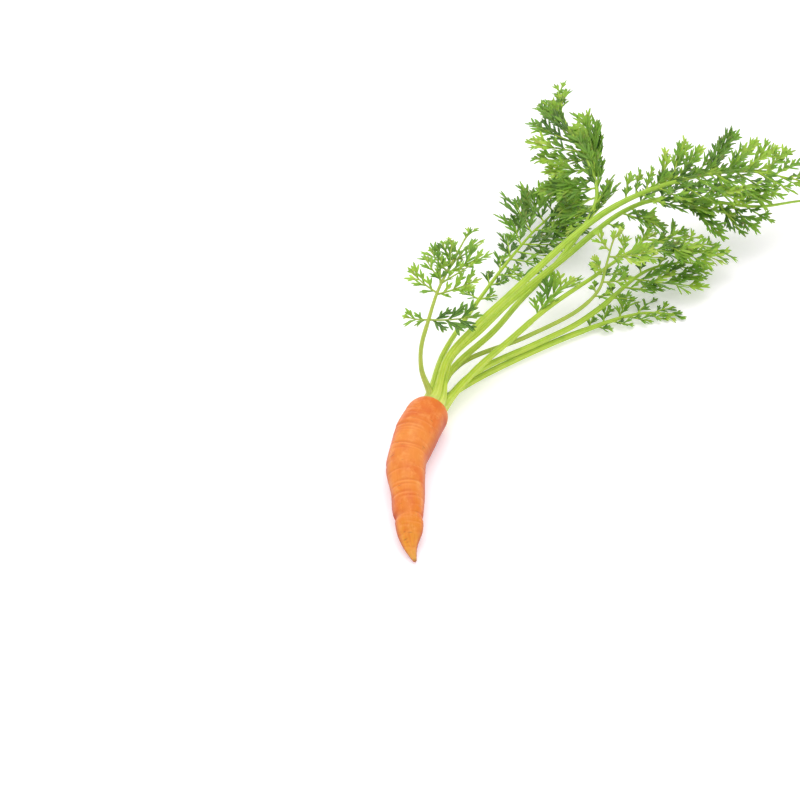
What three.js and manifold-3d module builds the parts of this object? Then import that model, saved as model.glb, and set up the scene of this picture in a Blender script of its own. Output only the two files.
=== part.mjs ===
// A young carrot as picked: one taproot lying on its side, and the nine leaves that grow from its crown.
// Each leaf is a bare stalk and, past its lowest leaflets, a frond: a rib with pairs of side blades that are
// cut to their own ribs. Millimetres, +Z up. The origin is the middle of the flat spot that the root lies on;
// the crown and the leaves point to +Y and +X, and the root's tip points to -Y.
import * as THREE from "three";
import { mergeVertices } from "three/addons/utils/BufferGeometryUtils.js";
import Module from "manifold-3d";

const wasm = await Module();
wasm.setup();

// --- Driving dimensions -------------------------------------------------------------------------------

const GAP = 0.3; // between any two pieces that meet

const ROOT_LENGTH = 98; // along the axis, from the crown's rim to the tip
const ROOT_SIDES = 24;
const ROOT_STEP = 2.6; // between two rings of the root's surface
const FLAT_DEPTH = 0.45; // how far the flat spot cuts into the round underside
const TIP_LIFT = 1.6; // how far the thin end rises off the surface
// Where the axis runs in plan, from crown to tip: x, y.
const ROOT_PLAN = [
  [12.0, 27.6], [6.7, 16.5], [1.6, 2.5], [-1.5, -12], [-0.7, -30], [-0.1, -48], [0.5, -58.5], [2.7, -65.7],
];
// Distance from the crown, and the radius there.
const ROOT_RADII = [
  [0, 10.6], [12, 11.0], [20, 11.1], [28, 10.5], [37, 10.0], [46, 9.5], [56, 8.6],
  [67, 7.9], [74, 7.1], [83, 6.1], [90, 3.5], [98, 0.7],
];
// Grooves that run part of the way round: distance from the crown, depth, half width, and the angle that
// the deepest place faces (0 is +X, 90 is up) with how far it reaches to each side, in degrees.
const GROOVES = [
  { at: 23, depth: 0.42, half: 1.2, facing: 130, reach: 90 },
  { at: 35, depth: 0.3, half: 1.2, facing: 95, reach: 80 },
  { at: 44, depth: 0.3, half: 1.2, facing: 200, reach: 90 },
  { at: 57, depth: 0.3, half: 1.2, facing: 85, reach: 90 },
  { at: 64, depth: 0.3, half: 1.2, facing: 120, reach: 90 },
  { at: 75.5, depth: 1.0, half: 1.9, facing: 170, reach: 180 },
  { at: 76, depth: 0.6, half: 1.8, facing: 5, reach: 80 },
];

const RIM_RADIUS = 7.2; // the crown's rim, round the dip that the leaves grow from
const DIP_RADIUS = 6.3;
const DIP_DEPTH = 1.0;
const SHOULDER = 7.5; // length of the rounded shoulder

const FOOT_RING = 4.4; // radius of the ring of eight stalk feet round the ninth
const STALK_SIDES = 7;
const STALK_STEP = 16; // between two sections of a stalk, beyond the first two
const FOOT_STRAIGHT = 5; // each stalk leaves the crown along the root's axis for this length
const FOOT_RADIUS = 1.3; // where the stalks stand packed together in the crown
const FOOT_FLARE = 0.016; // how fast a stalk may widen from there

const BLADE_THICK = 0.7;
const RIB_SIDES = 5;
const RIB_STEP = 6; // between two sections of a frond's rib
const RIB_TIP_RADIUS = 0.45;
const BLADE_SUNK = 0.8; // how far a blade's foot reaches inside the rib that carries it
const SIDE_RIB_HALF = 0.45; // half the width of a side blade's own rib
const LEAFLET_PITCH = 8; // between two leaflets along a side blade's rib
const BLADE_SWEEP = 0.2; // how far a blade's rib bends forwards, as a share of its length
const BLADE_DROOP = 0.12; // how far it bends down
const TIP_LEAN = 28; // how far the last blade's leaflets lean from its rib, in degrees
const LOBES_SPREAD = 9; // how much further than its middle lobe a leaflet spreads from the rib, in degrees

// The leaves, from the left of the fan to the right. foot is the angle of the stalk's foot round the crown
// (none for the middle one), radius the stalk's near its foot and at the frond, bare the length of the stalk,
// path the line from the foot to the leaf's tip, and roll the turn of the frond about its own rib. left and
// right list the side blades: where each leaves the rib, its length, the angle that it opens from the rib
// and the angle that it rises, or hangs if below zero. lean is how far leaflets lean from their blade's rib,
// on the left and on the right, and tip the length of the last blade. Millimetres and degrees.
const LEAVES = [
  {
    foot: 131, radius: [1.4, 1.1], bare: 43, lean: [33, 33], roll: -12, tip: 11,
    path: [[6.6, 41, 24], [6.4, 48, 34], [10, 58, 43], [15, 72, 51], [22, 88, 55], [31, 112, 55]],
    left: [[46, 15, 100, -8], [61, 21, 72, 8], [75, 20, 60, 8], [90, 14, 48, 8], [79, 14, 28, 45]],
    right: [[46, 24, 82, -8], [60, 21, 66, 0], [74, 23, 52, 0], [89, 16, 42, 0]],
  },
  {
    foot: 170, radius: [1.7, 1.2], bare: 84, lean: [33, 42], roll: 0, tip: 13,
    path: [[18, 67, 10], [34, 101, 11], [54, 135, 15], [70, 160, 17], [82, 177, 17], [95, 213, 13]],
    left: [
      [87, 10, 90, 8], [111, 11, 34, 8], [123, 17, 44, 8], [135, 23, 50, 8], [147, 29, 60, 8],
      [159, 27, 58, 8], [171, 22, 52, 8], [184, 15, 44, 8],
    ],
    right: [
      [87, 8, 50, 0], [116, 18, 96, -18], [122, 15.5, 69, -6], [136, 22, 63, 0], [143, 25.5, 57, -4],
      [150, 26.5, 54, 0], [166, 25.5, 45, 0], [184, 14.5, 42, 0],
    ],
  },
  {
    foot: null, radius: [1.8, 1.4], bare: 148, lean: [22, 24], roll: -14, tip: 16,
    path: [
      [22.4, 51.8, 14], [45.6, 78.6, 17.5], [60.3, 99.1, 20.5], [83, 125, 28], [105, 163, 40],
      [100.5, 187, 49], [91.5, 208, 55], [88.5, 223, 56], [88, 239, 56.5],
    ],
    left: [
      [156, 23, 101, -22], [165, 18, 120, -24], [176, 33, 84, -8], [189, 26, 76, -10], [195, 29, 72, -2],
      [201, 31, 59, 0], [214, 29, 22, 2], [238, 12, 14, 0],
    ],
    right: [[157, 24, 23, 20], [173, 36, 6, 24], [181, 43, 14, 22]],
  },
  {
    foot: 89, radius: [1.9, 1.7], bare: 166, lean: [18, 26], roll: 6, tip: 16,
    path: [
      [19.4, 45.6, 27], [32.6, 60, 34.5], [49.4, 78.1, 39], [109, 143, 47], [151, 167, 49], [189, 179, 46],
      [222, 183, 37],
    ],
    left: [
      [179, 14, 60, 30], [199, 20.5, 77, 26], [203, 27.5, 60, 26], [207, 26.5, 46, 26], [226, 32, 55, 24],
      [238, 29.5, 49, 22], [249, 28.5, 48, 20], [261, 26, 58, 16], [267, 22, 47, 12], [199, 24, 14, 46],
    ],
    right: [
      [193, 18, 56, -10], [205, 24.5, 58, -12], [217, 31.5, 55, -12], [229, 33.5, 49, -12],
      [242, 28, 44, -12], [256, 23.5, 33, -10],
    ],
  },
  {
    foot: 41, radius: [1.8, 1.6], bare: 150, lean: [26, 26], roll: 0, tip: 14,
    path: [
      [21.2, 50.9, 22], [38.1, 70.1, 26], [54.6, 89.5, 29], [82.7, 117.5, 33], [117, 152.5, 37],
      [137, 164, 37.5], [164, 168, 34.5], [196, 169, 29], [223, 178, 26], [262, 192, 19],
    ],
    left: [[196, 30.5, 40, -4], [210, 34, 44, -4], [238, 26.5, 44, -4], [292, 20, 50, 0], [303, 14, 44, 0]],
    right: [
      [177, 22, 71, -25], [192, 32, 32, -14], [203, 35.5, 24, -14], [213, 27, 56, -34],
      [230, 21.5, 55, -30], [246, 16.5, 34, -24], [292, 22, 50, 0], [303, 15, 44, 0],
    ],
  },
  {
    foot: -9, radius: [1.9, 1.6], bare: 78, lean: [30, 32], roll: 0, tip: 16,
    path: [
      [34.7, 50.8, 15], [53.2, 70.8, 17.5], [72.7, 91.6, 20], [97, 112, 23], [131, 140, 25], [151, 143, 24],
      [172, 145, 18],
    ],
    left: [[82, 37, 22, -6], [150, 13, 56, 8], [162, 17, 50, 8], [174, 18, 45, 8], [186, 15, 40, 8]],
    right: [
      [128, 14, 44, -4], [150, 20, 50, -4], [162, 26, 46, -6], [174, 28, 42, -6], [186, 24, 36, -6],
      [197, 16, 32, -6],
    ],
  },
  {
    foot: -147, radius: [1.4, 1.1], bare: 118, lean: [32, 32], roll: 0, tip: 8,
    path: [
      [27, 59, 11.2], [62, 78, 13], [92, 96, 17], [103, 106, 23], [106, 113, 31], [109, 121, 39],
      [111, 126, 43],
    ],
    left: [[136, 9, 60, 0], [148, 12, 60, 0]],
    right: [[131, 14, 76, 0], [145, 22, 80, 0]],
  },
  {
    foot: -52, radius: [1.8, 1.5], bare: 130, lean: [30, 32], roll: 0, tip: 12,
    path: [
      [31.9, 53.1, 8.4], [70, 78.9, 8.6], [89.6, 91.9, 9], [104.1, 104.5, 10], [132, 133, 12],
      [150, 140, 12], [163, 143, 9],
    ],
    left: [[146, 14, 56, 4], [158, 18, 52, 4], [170, 18, 46, 4], [181, 13, 40, 4]],
    right: [[143, 20, 60, 0], [152, 38, 60, 0], [165, 28, 48, 0], [178, 20, 40, 0]],
  },
  {
    foot: -110, radius: [1.9, 1.6], bare: 108, lean: [30, 30], roll: 0, tip: 8,
    path: [[28.6, 50, 3.8], [48.2, 64.3, 4.2], [92.7, 91.8, 4], [128, 108, 3], [147, 109, 1.6]],
    left: [[121, 15, 56, 4], [131, 20, 50, 4], [142, 18, 44, 2], [152, 12, 38, 0]],
    right: [[126, 10, 46, 0], [136, 12, 42, 0], [146, 11, 38, 0]],
  },
];

const ORANGE = new THREE.MeshStandardMaterial({ color: 0xe8752a, roughness: 0.5, metalness: 0 });
const STALK_GREEN = new THREE.MeshStandardMaterial({ color: 0xb2cc3f, roughness: 0.45, metalness: 0 });
const LEAF_GREEN = new THREE.MeshStandardMaterial({ color: 0x5d9a34, roughness: 0.6, metalness: 0 });

// --- Helpers ------------------------------------------------------------------------------------------

const UP = new THREE.Vector3(0, 0, 1);
const radians = THREE.MathUtils.degToRad;
const clamp = THREE.MathUtils.clamp;

// The height of a smooth line through knots of [place, height], at a place.
function through(knots, at) {
  const last = knots.length - 1;
  const i = clamp(knots.findIndex(([place]) => place > at) - 1, 0, last - 1);
  const k = at >= knots[last][0] ? last - 1 : i;
  const [x0, y0] = knots[k];
  const [x1, y1] = knots[k + 1];
  const slope = (j) => {
    const a = knots[Math.max(j - 1, 0)];
    const b = knots[Math.min(j + 1, last)];
    return (b[1] - a[1]) / (b[0] - a[0]);
  };
  const t = clamp((at - x0) / (x1 - x0), 0, 1);
  const span = x1 - x0;
  return (
    y0 * (1 + 2 * t) * (1 - t) ** 2 +
    y1 * t * t * (3 - 2 * t) +
    slope(k) * span * t * (1 - t) ** 2 -
    slope(k + 1) * span * t * t * (1 - t)
  );
}

// A smooth line in space with its own length and, at any distance along it, a place and three directions:
// along it, to its right and out of its upper side.
function line(points, roll = 0) {
  const curve = new THREE.CatmullRomCurve3(points, false, "centripetal");
  curve.arcLengthDivisions = 400;
  const length = curve.getLength();
  const at = (distance) => {
    const u = clamp(distance / length, 0, 1);
    const along = curve.getTangentAt(u);
    const right = along.clone().cross(UP).normalize().applyAxisAngle(along, radians(roll));
    return { place: curve.getPointAt(u), along, right, above: right.clone().cross(along) };
  };
  return { length, at };
}

// A closed geometry as a solid, with its faces turned outwards.
function solid(geometry) {
  const bare = geometry.index ? geometry.toNonIndexed() : geometry.clone();
  bare.deleteAttribute("normal");
  bare.deleteAttribute("uv");
  const merged = mergeVertices(bare, 1e-4);
  const vertProperties = merged.attributes.position.array;
  const triVerts = new Uint32Array(merged.index.array);
  if (signedVolume(vertProperties, triVerts) < 0) {
    triVerts.reverse();
  }
  return new wasm.Manifold(new wasm.Mesh({ numProp: 3, vertProperties, triVerts }));
}

function signedVolume(vertices, triangles) {
  const corner = (i) => new THREE.Vector3().fromArray(vertices, 3 * triangles[i]);
  let sum = 0;
  for (let i = 0; i < triangles.length; i += 3) {
    sum += corner(i).dot(corner(i + 1).cross(corner(i + 2)));
  }
  return sum;
}

function named(name, made, material) {
  const { vertProperties, triVerts } = made.getMesh();
  const geometry = new THREE.BufferGeometry()
    .setAttribute("position", new THREE.BufferAttribute(vertProperties, 3))
    .setIndex(new THREE.BufferAttribute(triVerts, 1));
  geometry.computeVertexNormals();
  const mesh = new THREE.Mesh(geometry, material);
  mesh.name = name;
  return mesh;
}

// Moves every corner of a geometry to where move() says.
function reshape(geometry, move) {
  const position = geometry.getAttribute("position");
  const corner = new THREE.Vector3();
  for (let i = 0; i < position.count; i++) {
    position.setXYZ(i, ...move(corner.fromBufferAttribute(position, i)).toArray());
  }
  return geometry;
}

// A round bar bent along a line from one distance to another, with the radius that radiusAt() gives there.
function bentBar(route, from, to, radiusAt, sides, steps) {
  const bar = new THREE.CylinderGeometry(1, 1, 1, sides, steps);
  return solid(
    reshape(bar, ({ x, y, z }) => {
      const distance = from + (to - from) * (y + 0.5);
      const { place, right, above } = route.at(distance);
      const radius = radiusAt(distance);
      return place.addScaledVector(right, x * radius).addScaledVector(above, z * radius);
    }),
  );
}

// --- The root -----------------------------------------------------------------------------------------

const rootPlan = line(ROOT_PLAN.map(([x, y]) => new THREE.Vector3(x, y, 0)));

// The axis lies one radius above the surface, less the flat, and the thin end lifts a little.
function rootAxis(distance) {
  const onPlan = rootPlan.at((distance / ROOT_LENGTH) * rootPlan.length);
  const lift = TIP_LIFT * THREE.MathUtils.smoothstep(distance, 0.6 * ROOT_LENGTH, ROOT_LENGTH);
  onPlan.place.z = through(ROOT_RADII, distance) - FLAT_DEPTH + lift;
  return onPlan;
}

function grooveDepth(distance, angle) {
  return GROOVES.reduce((sum, { at, depth, half, facing, reach }) => {
    const off = Math.abs(THREE.MathUtils.euclideanModulo(angle - facing + 180, 360) - 180);
    const share = 0.5 + 0.5 * Math.cos(Math.PI * clamp(off / reach, 0, 1));
    return sum + depth * share * Math.exp(-(((distance - at) / half) ** 2));
  }, 0);
}

function taproot() {
  const profile = [new THREE.Vector2(0, DIP_DEPTH), new THREE.Vector2(DIP_RADIUS, DIP_DEPTH)];
  profile.push(new THREE.Vector2(RIM_RADIUS - 0.8, 0.2), new THREE.Vector2(RIM_RADIUS, 0));
  for (let s = 0.08 * SHOULDER; s < SHOULDER; s += 0.23 * SHOULDER) {
    const round = Math.sqrt(1 - (1 - s / SHOULDER) ** 2);
    profile.push(new THREE.Vector2(RIM_RADIUS + (through(ROOT_RADII, s) - RIM_RADIUS) * round, s));
  }
  for (let s = SHOULDER + 1; s < ROOT_LENGTH - 0.5; s += ROOT_STEP) {
    profile.push(new THREE.Vector2(through(ROOT_RADII, s), s));
  }
  profile.push(new THREE.Vector2(0, ROOT_LENGTH));
  const turned = new THREE.LatheGeometry(profile, ROOT_SIDES);
  const body = reshape(turned, ({ x, y, z }) => {
    const { place, right } = rootAxis(y);
    const angle = THREE.MathUtils.radToDeg(Math.atan2(z, -x));
    const radius = Math.hypot(x, z);
    const cut = y > SHOULDER ? 1 - grooveDepth(y, angle) / Math.max(radius, 1) : 1;
    return place.addScaledVector(right, x * cut).addScaledVector(UP, z * cut);
  });
  const below = new THREE.BoxGeometry(400, 400, 10).translate(0, 0, -5);
  return solid(body).subtract(solid(below));
}

// --- The leaves ---------------------------------------------------------------------------------------

// A leaf's whole line: its foot in the dip of the crown, a short straight start, then its own path.
function leafLine({ foot, path, roll }) {
  const crown = rootAxis(0);
  const outwards = crown.along.clone().negate();
  const ring = foot === null ? 0 : FOOT_RING;
  const start = crown.place
    .clone()
    .addScaledVector(outwards, GAP - DIP_DEPTH)
    .addScaledVector(crown.right, -ring * Math.cos(radians(foot ?? 0)))
    .addScaledVector(UP, ring * Math.sin(radians(foot ?? 0)));
  const straight = start.clone().addScaledVector(outwards, FOOT_STRAIGHT);
  return line([start, straight, ...path.map((p) => new THREE.Vector3(...p))], roll);
}

// How much a side blade has bent at a distance along it. It bends more towards its tip.
function bendAt(x, length) {
  return length * (Math.max(x, 0) / length) ** 2;
}

// The outline of one side blade: a rib that bends forwards from X, with pairs of pointed leaflets, cut apart
// down to the rib.
function bladeOutline(length, lean) {
  const pairs = Math.max(1, Math.round((length - 4) / LEAFLET_PITCH));
  const pitch = (length - 4) / pairs;
  const turn = radians(lean + LOBES_SPREAD);
  const side = (sign) => {
    const points = [];
    for (let j = 0; j < pairs; j++) {
      const slim = Math.min(1, 0.65 + (1.05 * j) / pairs);
      const long = slim * (0.33 * length * (1 - (0.5 * j) / pairs) + 1.8);
      const foot = new THREE.Vector2(2.6 + j * pitch, sign * SIDE_RIB_HALF * 0.6);
      const tip = new THREE.Vector2(Math.cos(turn), sign * Math.sin(turn)).multiplyScalar(long).add(foot);
      points.push(new THREE.Vector2(foot.x - 0.6, sign * SIDE_RIB_HALF), tip);
      points.push(new THREE.Vector2(foot.x + 0.55 * pitch, sign * SIDE_RIB_HALF * 0.8));
    }
    return points;
  };
  const end = [[-2.6, 1], [0, 0], [-2.6, -1]];
  const straight = [
    new THREE.Vector2(-BLADE_SUNK, SIDE_RIB_HALF),
    ...side(1),
    ...end.map(([x, y]) => new THREE.Vector2(length + x, y)),
    ...side(-1).reverse(),
    new THREE.Vector2(-BLADE_SUNK, -SIDE_RIB_HALF),
  ];
  const swept = straight.map(({ x, y }) => new THREE.Vector2(x, y + BLADE_SWEEP * bendAt(x, length)));
  return new THREE.Shape(swept);
}

// One side blade in its place on the frond's rib: out leads along the blade's own rib, which bends a little
// forwards and down.
function blade(place, out, ahead, above, length, lean) {
  const flat = bladeOutline(length, lean);
  const cut = new THREE.ExtrudeGeometry(flat, { depth: BLADE_THICK, bevelEnabled: false });
  return solid(
    reshape(cut, ({ x, y, z }) => {
      const under = place
        .clone()
        .addScaledVector(out, x)
        .addScaledVector(ahead, y)
        .addScaledVector(above, -BLADE_THICK / 2 - BLADE_DROOP * bendAt(x, length));
      under.z = Math.max(under.z, 0);
      return under.addScaledVector(above, z);
    }),
  );
}

function frond(leaf) {
  const route = leafLine(leaf);
  const from = leaf.bare + GAP;
  const ends = route.length - 2;
  const radiusAt = (distance) =>
    THREE.MathUtils.mapLinear(distance, from, ends, 0.99 * leaf.radius[1], RIB_TIP_RADIUS);
  let made = bentBar(route, from, ends, radiusAt, RIB_SIDES, Math.round((ends - from) / RIB_STEP));
  for (const [side, blades, lean] of [[-1, leaf.left, leaf.lean[0]], [1, leaf.right, leaf.lean[1]]]) {
    for (const [distance, length, opens, rises] of blades) {
      const { place, along, right, above } = route.at(distance);
      const lift = radians(rises);
      const open = radians(opens);
      const sideways = right.multiplyScalar(side * Math.cos(lift)).addScaledVector(above, Math.sin(lift));
      const out = along.clone().multiplyScalar(Math.cos(open)).addScaledVector(sideways, Math.sin(open));
      const ahead = along.clone().addScaledVector(out, -along.dot(out)).normalize();
      const face = out.clone().cross(ahead).multiplyScalar(side).normalize();
      made = made.add(blade(place, out, ahead, face, length, lean));
    }
  }
  const last = route.at(route.length - 5);
  return made.add(blade(last.place, last.along, last.right, last.above, leaf.tip, TIP_LEAN));
}

function stalk(leaf) {
  const [low, high] = leaf.radius;
  const radiusAt = (distance) => {
    const tapered = low + ((high - low) * distance) / leaf.bare;
    return Math.min(FOOT_RADIUS + FOOT_FLARE * distance, tapered);
  };
  const steps = Math.round(2 + leaf.bare / STALK_STEP);
  return bentBar(leafLine(leaf), 0, leaf.bare, radiusAt, STALK_SIDES, steps);
}

// --- The carrot ---------------------------------------------------------------------------------------

const carrot = new THREE.Group();
carrot.add(named("taproot", taproot(), ORANGE));
LEAVES.forEach((leaf, i) => {
  carrot.add(named(`leaf_stalk_${i + 1}`, stalk(leaf), STALK_GREEN));
  carrot.add(named(`leaf_frond_${i + 1}`, frond(leaf), LEAF_GREEN));
});

export default carrot;
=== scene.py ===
import math

import bpy
import numpy as np
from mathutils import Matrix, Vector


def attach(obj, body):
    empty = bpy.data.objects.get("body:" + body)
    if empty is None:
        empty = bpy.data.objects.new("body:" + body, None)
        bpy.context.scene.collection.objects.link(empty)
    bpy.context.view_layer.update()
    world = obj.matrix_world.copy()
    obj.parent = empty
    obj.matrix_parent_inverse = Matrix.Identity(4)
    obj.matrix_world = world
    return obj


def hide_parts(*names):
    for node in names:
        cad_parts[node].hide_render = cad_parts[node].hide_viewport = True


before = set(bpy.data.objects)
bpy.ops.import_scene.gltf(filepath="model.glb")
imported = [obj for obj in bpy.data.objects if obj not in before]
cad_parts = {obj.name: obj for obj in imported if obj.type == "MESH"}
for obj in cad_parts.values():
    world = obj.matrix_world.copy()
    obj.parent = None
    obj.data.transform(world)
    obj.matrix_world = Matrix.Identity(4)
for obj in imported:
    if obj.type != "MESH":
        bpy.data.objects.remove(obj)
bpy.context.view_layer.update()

# --- The table, the light and the camera ---------------------------------------------------------------
# The carrot lies on a plain white table in broad, even daylight from above, so its shadows are soft and
# pale. The camera stands beyond the root's tip and looks down over the root to the fan of leaves.

TABLE_SIDE = 60.0
TABLE_WHITE = (0.93, 0.925, 0.93, 1)
TABLE_GLOW = 0.26
TABLE_GLOW_WHITE = (0.92, 0.86, 1.0, 1)
SKY_WHITE = (1.0, 0.975, 0.99, 1)
SKY_STRENGTH = 0.92
LAMP_SIDE = 1.3
LAMP_PLACE = (-0.05, 0.36, 1.5)
LAMP_AIM = (0.06, 0.08, 0.0)
LAMP_WATTS = 8.6
LAMP_WHITE = (1.0, 0.985, 0.95)
CAMERA_PLACE = (-0.0045, -0.52812, 0.57197)
CAMERA_TILT = math.radians(45)
CAMERA_LENS = 70
CAMERA_SENSOR = 36

scene = bpy.context.scene
scene.view_settings.view_transform = "Standard"


def plain_object(name, mesh):
    """A new object at the origin, in the scene, with its place in its mesh."""
    made = bpy.data.objects.new(name, mesh)
    scene.collection.objects.link(made)
    return made


def table_top():
    half = TABLE_SIDE / 2
    corners = [(-half, -half, 0), (half, -half, 0), (half, half, 0), (-half, half, 0)]
    mesh = bpy.data.meshes.new("table")
    mesh.from_pydata(corners, [], [(0, 1, 2, 3)])
    white = bpy.data.materials.new("white_table")
    white.use_nodes = True
    shader = white.node_tree.nodes["Principled BSDF"]
    shader.inputs["Base Color"].default_value = TABLE_WHITE
    shader.inputs["Roughness"].default_value = 0.9
    shader.inputs["Specular IOR Level"].default_value = 0.1
    shader.inputs["Emission Color"].default_value = TABLE_GLOW_WHITE
    shader.inputs["Emission Strength"].default_value = TABLE_GLOW
    mesh.materials.append(white)
    return plain_object("table", mesh)


def daylight():
    world = bpy.data.worlds.new("daylight")
    world.use_nodes = True
    sky = world.node_tree.nodes["Background"]
    sky.inputs["Color"].default_value = SKY_WHITE
    sky.inputs["Strength"].default_value = SKY_STRENGTH
    scene.world = world
    lamp = bpy.data.lights.new("window", "AREA")
    lamp.size = LAMP_SIDE
    lamp.energy = LAMP_WATTS
    lamp.color = LAMP_WHITE
    window = bpy.data.objects.new("window", lamp)
    scene.collection.objects.link(window)
    window.location = LAMP_PLACE
    towards = Vector(LAMP_AIM) - Vector(LAMP_PLACE)
    window.rotation_euler = towards.to_track_quat("-Z", "Y").to_euler()


def camera_over_the_tip():
    lens = bpy.data.cameras.new("camera")
    lens.lens = CAMERA_LENS
    lens.sensor_width = CAMERA_SENSOR
    camera = bpy.data.objects.new("camera", lens)
    scene.collection.objects.link(camera)
    camera.location = CAMERA_PLACE
    camera.rotation_euler = (CAMERA_TILT, 0, 0)
    scene.camera = camera


table_top()
daylight()
camera_over_the_tip()

# --- The taproot ---------------------------------------------------------------------------------------
# One swollen root of a young carrot, washed, with its moist orange skin. It grew in rings, so shallow
# creases run part of the way round it, and short brown scars mark where side roots broke off.

MM = 0.001
UP = np.array([0.0, 0.0, 1.0])

ROOT_LENGTH = 98 * MM
FLAT_DEPTH = 0.45 * MM
TIP_LIFT = 1.6 * MM
ROOT_PLAN = MM * np.array([
    [12.0, 27.6], [6.7, 16.5], [1.6, 2.5], [-1.5, -12], [-0.7, -30], [-0.1, -48], [0.5, -58.5], [2.7, -65.7],
])
ROOT_RADII = MM * np.array([
    [0, 10.6], [12, 11.0], [20, 11.1], [28, 10.5], [37, 10.0], [46, 9.5], [56, 8.6],
    [67, 7.9], [74, 7.1], [83, 6.1], [90, 3.5], [98, 0.7],
])
# Main creases: distance from the crown, depth and half width in millimetres, then the angle that the
# deepest place faces (0 is +X, 90 is up) and how far it reaches to each side, in degrees.
MAIN_CREASES = [
    (23, 0.42, 0.9, 130, 90), (24.8, 0.2, 0.5, 105, 80), (35, 0.3, 0.7, 95, 80), (36.6, 0.2, 0.45, 70, 70),
    (38.2, 0.14, 0.4, 105, 60), (44, 0.3, 1.0, 200, 90), (57, 0.3, 0.7, 85, 90), (59.4, 0.2, 0.5, 105, 80),
    (64, 0.3, 0.8, 120, 90), (66.4, 0.2, 0.5, 80, 80), (75.5, 1.05, 1.7, 172, 95), (76, 0.6, 1.8, 5, 70),
]
RIM_RADIUS = 7.2 * MM
DIP_RADIUS = 6.3 * MM
DIP_DEPTH = 1.0 * MM
SHOULDER = 7.5 * MM
# The step from the dip up to the rim: how far inside the rim's radius, and how deep.
RIM_STEP = [(0.8 * MM, 0.62 * MM), (0.7 * MM, 0.25 * MM), (0.4 * MM, 0.06 * MM), (0.0, 0.0)]

SKIN_ROWS_APART = 0.27 * MM
SKIN_SIDES = 208
UNROLLED_RADIUS = 10 * MM
THIN_END_RADIUS = 3 * MM
TIP_CUT = 0.6 * MM
# Finer marks, in millimetres. Two values are the least and the most. A ledge lies just below a crease
# and is not cut into the skin: it only gets a painted highlight.
CREASE_TO_LEDGE = 1.1
FULL_COLOUR_DEPTH = 0.36
FINE_CREASES = 74
FINE_DEPTH = (0.05, 0.2)
FINE_HALF_WIDTH = (0.25, 0.6)
FINE_SWAY = (0.1, 0.9)
FINE_TO_LEDGE = 0.8
SCARS = 96
SCAR_WIDTH = (0.35, 1.25)
SCAR_HEIGHT = (0.14, 0.26)
SCAR_DEPTH = 0.16
SCAR_LIP = 0.07
LUMPS = 14
LUMP_HEIGHT = (0.025, 0.085)
LUMP_PITCH = (8, 40)


def blend_in(low, high, value):
    """A smooth step from 0 below low to 1 above high."""
    share = np.clip((value - low) / (high - low), 0, 1)
    return share * share * (3 - 2 * share)


def unit(vectors):
    return vectors / np.linalg.norm(vectors, axis=-1, keepdims=True)


def through(knots, at):
    """The height of a smooth line through knots of (place, height), at one or more places."""
    places, heights = knots.T
    before = np.maximum(np.arange(len(places)) - 1, 0)
    after = np.minimum(np.arange(len(places)) + 1, len(places) - 1)
    slopes = (heights[after] - heights[before]) / (places[after] - places[before])
    i = np.clip(np.searchsorted(places, at, side="right") - 1, 0, len(places) - 2)
    span = places[i + 1] - places[i]
    t = np.clip((at - places[i]) / span, 0, 1)
    rise = heights[i] * (1 + 2 * t) * (1 - t) ** 2 + heights[i + 1] * t * t * (3 - 2 * t)
    return rise + slopes[i] * span * t * (1 - t) ** 2 - slopes[i + 1] * span * t * t * (1 - t)


def smooth_line(knots, roll=0.0):
    """A smooth line through the knots. Gives its length, and a function that turns distances along it
    into places and three directions: along it, to its right and out of its upper side."""
    ends = np.vstack([2 * knots[0] - knots[1], knots, 2 * knots[-1] - knots[-2]])
    t = np.linspace(0, 1, 60, endpoint=False)[:, None]
    runs = []
    for p0, p1, p2, p3 in zip(ends, ends[1:], ends[2:], ends[3:]):
        d0, d1, d2 = (np.linalg.norm(b - a) ** 0.5 for a, b in ((p0, p1), (p1, p2), (p2, p3)))
        leaving = d1 * ((p1 - p0) / d0 - (p2 - p0) / (d0 + d1) + (p2 - p1) / d1)
        arriving = d1 * ((p2 - p1) / d1 - (p3 - p1) / (d1 + d2) + (p3 - p2) / d2)
        square = 3 * (p2 - p1) - 2 * leaving - arriving
        cube = 2 * (p1 - p2) + leaving + arriving
        runs.append(p1 + leaving * t + square * t ** 2 + cube * t ** 3)
    places = np.vstack([*runs, knots[-1:]])
    travelled = np.concatenate([[0], np.cumsum(np.linalg.norm(np.diff(places, axis=0), axis=1))])
    headings = unit(np.gradient(places, travelled, axis=0))

    def at(distances):
        distances = np.asarray(distances, float)
        place = np.stack([np.interp(distances, travelled, axis) for axis in places.T], axis=-1)
        along = unit(np.stack([np.interp(distances, travelled, axis) for axis in headings.T], axis=-1))
        level = unit(np.cross(along, UP))
        right = level * math.cos(roll) + np.cross(along, level) * math.sin(roll)
        return place, along, right, np.cross(right, along)

    return travelled[-1], at


plan_length, plan_at = smooth_line(np.column_stack([ROOT_PLAN, np.zeros(len(ROOT_PLAN))]))


def root_axis(distance):
    """The root's axis lies one radius above the table, less the flat, and its thin end lifts a little."""
    place, along, right, _ = plan_at(distance / ROOT_LENGTH * plan_length)
    lift = TIP_LIFT * blend_in(0.6 * ROOT_LENGTH, ROOT_LENGTH, distance)
    height = through(ROOT_RADII, distance) - FLAT_DEPTH + lift
    return place + height[..., None] * UP, along, right


def angle_off(angle, facing):
    """How far an angle is from the one that a mark faces, in degrees either way."""
    return np.abs((angle - facing + 180) % 360 - 180)


def crease_depth(distance, angle, creases):
    depth = np.zeros_like(distance)
    for at, deep, half, facing, reach in creases:
        share = 0.5 + 0.5 * np.cos(np.pi * np.clip(angle_off(angle, facing) / reach, 0, 1))
        depth += deep * share * np.exp(-((distance - at) / half) ** 2)
    return depth


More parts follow.
